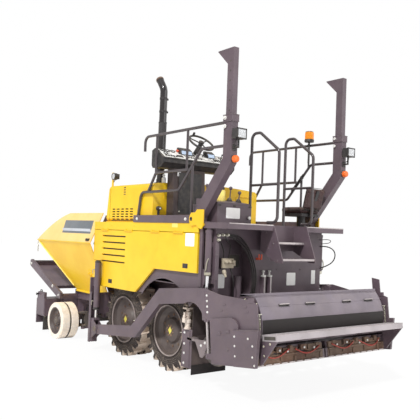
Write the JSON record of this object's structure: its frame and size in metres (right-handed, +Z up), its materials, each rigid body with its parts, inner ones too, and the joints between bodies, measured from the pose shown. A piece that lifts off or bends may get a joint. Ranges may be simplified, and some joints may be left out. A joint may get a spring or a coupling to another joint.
{
  "type": "asphalt paver",
  "caption": "Wheeled asphalt paver with tandem drive wheels, folding hopper wings, push rollers, tow arms, telescopic screed and augers, seen from its rear left.",
  "frame": {"origin": "on the ground under the middle of the machine's box, on its centre plane", "axes": "+X forward towards the hopper, +Y to the machine's left, +Z up"},
  "size_m": [6.7538, 2.42, 4.2328],
  "materials": {
    "dark_paint": "satin",
    "yellow_paint": "gloss",
    "black_paint": "satin",
    "bright_steel": "satin",
    "chrome": "polished",
    "cast_iron": "matt",
    "tyre_rubber": "matt",
    "solid_tyre_rubber": "matt",
    "flap_rubber": "matt",
    "black_plastic": "matt",
    "lamp_plastic": "matt",
    "seat_fabric": "matt"
  },
  "bodies": {
    "chassis": {"main_frame": "dark_paint", "cross_members": "dark_paint", "front_crossbeam": "dark_paint", "front_flaps": "flap_rubber", "front_axle": "cast_iron", "drive_axles": "cast_iron", "hopper_floor": "dark_paint", "conveyor": "bright_steel", "engine_block": "cast_iron", "engine_hood": "yellow_paint", "side_panels": "yellow_paint", "fenders": "dark_paint", "platform": "dark_paint", "rear_body": "dark_paint", "guard_rails": "dark_paint", "masts_lower": "dark_paint", "console": "black_plastic", "seat_base": "black_paint", "seat_cushions": "seat_fabric", "rear_cabinet": "dark_paint", "exhaust": "black_paint", "lamps": "lamp_plastic", "tow_guides": "dark_paint", "lift_barrels": "dark_paint"},
    "push_rollers": {"push_rollers": "bright_steel"},
    "tie_rod": {"tie_rod": "dark_paint"},
    "hopper_apron": {"hopper_apron": "dark_paint"},
    "steering_wheel": {"steering_wheel": "black_plastic"},
    "screed": {"tow_arms": "dark_paint", "screed_frame": "dark_paint", "screed_cover": "dark_paint", "walkway": "dark_paint"},
    "knuckle_left": {"knuckle_left": "cast_iron"},
    "front_wheel_left": {"front_tyres_left": "solid_tyre_rubber", "front_rim_left": "dark_paint"},
    "drive_wheel_rear_left": {"drive_tyre_rear_left": "tyre_rubber", "drive_rim_rear_left": "dark_paint"},
    "drive_wheel_mid_left": {"drive_tyre_mid_left": "tyre_rubber", "drive_rim_mid_left": "dark_paint"},
    "hopper_wing_left": {"hopper_wing_left": "yellow_paint"},
    "side_door_left": {"side_door_left": "yellow_paint"},
    "mast_upper_left": {"mast_upper_left": "dark_paint"},
    "tow_slide_left": {"tow_slide_left": "dark_paint"},
    "lift_rod_left": {"lift_rod_left": "chrome"},
    "extension_left": {"extension_left": "dark_paint"},
    "auger_left": {"auger_left": "cast_iron"},
    "knuckle_right": {"knuckle_right": "cast_iron"},
    "front_wheel_right": {"front_tyres_right": "solid_tyre_rubber", "front_rim_right": "dark_paint"},
    "drive_wheel_rear_right": {"drive_tyre_rear_right": "tyre_rubber", "drive_rim_rear_right": "dark_paint"},
    "drive_wheel_mid_right": {"drive_tyre_mid_right": "tyre_rubber", "drive_rim_mid_right": "dark_paint"},
    "hopper_wing_right": {"hopper_wing_right": "yellow_paint"},
    "side_door_right": {"side_door_right": "yellow_paint"},
    "mast_upper_right": {"mast_upper_right": "dark_paint"},
    "tow_slide_right": {"tow_slide_right": "dark_paint"},
    "lift_rod_right": {"lift_rod_right": "chrome"},
    "extension_right": {"extension_right": "dark_paint"},
    "auger_right": {"auger_right": "cast_iron"}
  },
  "joints": [
    {"name": "steer_left", "type": "hinge", "parent": "chassis", "child": "knuckle_left", "pos_m": [1.805, 0.805, 0.303], "axis": [0, 0, 1], "range_deg": [-25, 25]},
    {"name": "steer_right", "type": "hinge", "parent": "chassis", "child": "knuckle_right", "pos_m": [1.805, -0.805, 0.303], "axis": [0, 0, 1], "range_deg": [-25, 25]},
    {"name": "tie_rod_pivot", "type": "hinge", "parent": "knuckle_left", "child": "tie_rod", "pos_m": [1.575, 0.805, 0.191], "axis": [0, 0, 1], "range_deg": [-25, 25]},
    {"name": "front_wheel_left_spin", "type": "hinge", "parent": "knuckle_left", "child": "front_wheel_left", "pos_m": [1.805, 1.06, 0.303], "axis": [0, 1, 0], "continuous": true},
    {"name": "drive_wheel_rear_left_spin", "type": "hinge", "parent": "chassis", "child": "drive_wheel_rear_left", "pos_m": [-1.11, 0.739, 0.538], "axis": [0, 1, 0], "continuous": true},
    {"name": "drive_wheel_mid_left_spin", "type": "hinge", "parent": "chassis", "child": "drive_wheel_mid_left", "pos_m": [0.055, 0.739, 0.538], "axis": [0, 1, 0], "continuous": true},
    {"name": "wing_left_fold", "type": "hinge", "parent": "chassis", "child": "hopper_wing_left", "pos_m": [1.5, 0.72, 0.78], "axis": [-1, 0, 0], "range_deg": [0, 40]},
    {"name": "side_door_left_open", "type": "hinge", "parent": "chassis", "child": "side_door_left", "pos_m": [-0.5, 1.06, 1.857], "axis": [1, 0, 0], "range_deg": [0, 80]},
    {"name": "mast_left_lower", "type": "slide", "parent": "chassis", "child": "mast_upper_left", "axis": [0, 0, -1], "range_m": [0, 0.26]},
    {"name": "lift_rod_left_slide", "type": "slide", "parent": "chassis", "child": "lift_rod_left", "axis": [0, 0, -1], "range_m": [0, 0.32]},
    {"name": "extension_left_slide", "type": "slide", "parent": "screed", "child": "extension_left", "axis": [0, 1, 0], "range_m": [0, 1]},
    {"name": "auger_left_spin", "type": "hinge", "parent": "chassis", "child": "auger_left", "pos_m": [-2.075, 0.5, 0.42], "axis": [0, 1, 0], "continuous": true},
    {"name": "tow_point_left", "type": "slide", "parent": "chassis", "child": "tow_slide_left", "axis": [0, 0, 1], "range_m": [-0.1, 0.12]},
    {"name": "front_wheel_right_spin", "type": "hinge", "parent": "knuckle_right", "child": "front_wheel_right", "pos_m": [1.805, -1.06, 0.303], "axis": [0, 1, 0], "continuous": true},
    {"name": "drive_wheel_rear_right_spin", "type": "hinge", "parent": "chassis", "child": "drive_wheel_rear_right", "pos_m": [-1.11, -0.739, 0.538], "axis": [0, 1, 0], "continuous": true},
    {"name": "drive_wheel_mid_right_spin", "type": "hinge", "parent": "chassis", "child": "drive_wheel_mid_right", "pos_m": [0.055, -0.739, 0.538], "axis": [0, 1, 0], "continuous": true},
    {"name": "wing_right_fold", "type": "hinge", "parent": "chassis", "child": "hopper_wing_right", "pos_m": [1.5, -0.72, 0.78], "axis": [1, 0, 0], "range_deg": [0, 40]},
    {"name": "side_door_right_open", "type": "hinge", "parent": "chassis", "child": "side_door_right", "pos_m": [-0.5, -1.06, 1.857], "axis": [-1, 0, 0], "range_deg": [0, 80]},
    {"name": "mast_right_lower", "type": "slide", "parent": "chassis", "child": "mast_upper_right", "axis": [0, 0, -1], "range_m": [0, 0.26]},
    {"name": "lift_rod_right_slide", "type": "slide", "parent": "chassis", "child": "lift_rod_right", "axis": [0, 0, -1], "range_m": [0, 0.32]},
    {"name": "extension_right_slide", "type": "slide", "parent": "screed", "child": "extension_right", "axis": [0, -1, 0], "range_m": [0, 1]},
    {"name": "auger_right_spin", "type": "hinge", "parent": "chassis", "child": "auger_right", "pos_m": [-2.075, -0.5, 0.42], "axis": [0, 1, 0], "continuous": true},
    {"name": "tow_point_right", "type": "slide", "parent": "chassis", "child": "tow_slide_right", "axis": [0, 0, 1], "range_m": [-0.1, 0.12]},
    {"name": "apron_tilt", "type": "hinge", "parent": "chassis", "child": "hopper_apron", "pos_m": [2.06, 0, 0.7], "axis": [0, 1, 0], "range_deg": [0, 21]},
    {"name": "push_rollers_spin", "type": "hinge", "parent": "chassis", "child": "push_rollers", "pos_m": [2.971, 0, 0.43], "axis": [0, 1, 0], "continuous": true},
    {"name": "steering_wheel_turn", "type": "hinge", "parent": "chassis", "child": "steering_wheel", "pos_m": [-0.815, 0.25, 3.19], "axis": [-0.6157, 0, 0.788], "range_deg": [-460, 460]},
    {"name": "screed_lift", "type": "hinge", "parent": "tow_slide_left", "child": "screed", "pos_m": [0.5, 0, 0.35], "axis": [0, -1, 0], "range_deg": [0, 7]}
  ],
  "couplings": [
    {"joint": "steer_right", "follows": "steer_left", "ratio": 1},
    {"joint": "tie_rod_pivot", "follows": "steer_left", "ratio": -1},
    {"joint": "steering_wheel_turn", "follows": "steer_left", "ratio": 18},
    {"joint": "tow_point_right", "follows": "tow_point_left", "ratio": 1},
    {"joint": "lift_rod_left_slide", "follows": "screed_lift", "m_per_rad": 2.54},
    {"joint": "lift_rod_right_slide", "follows": "screed_lift", "m_per_rad": 2.54}
  ]
}
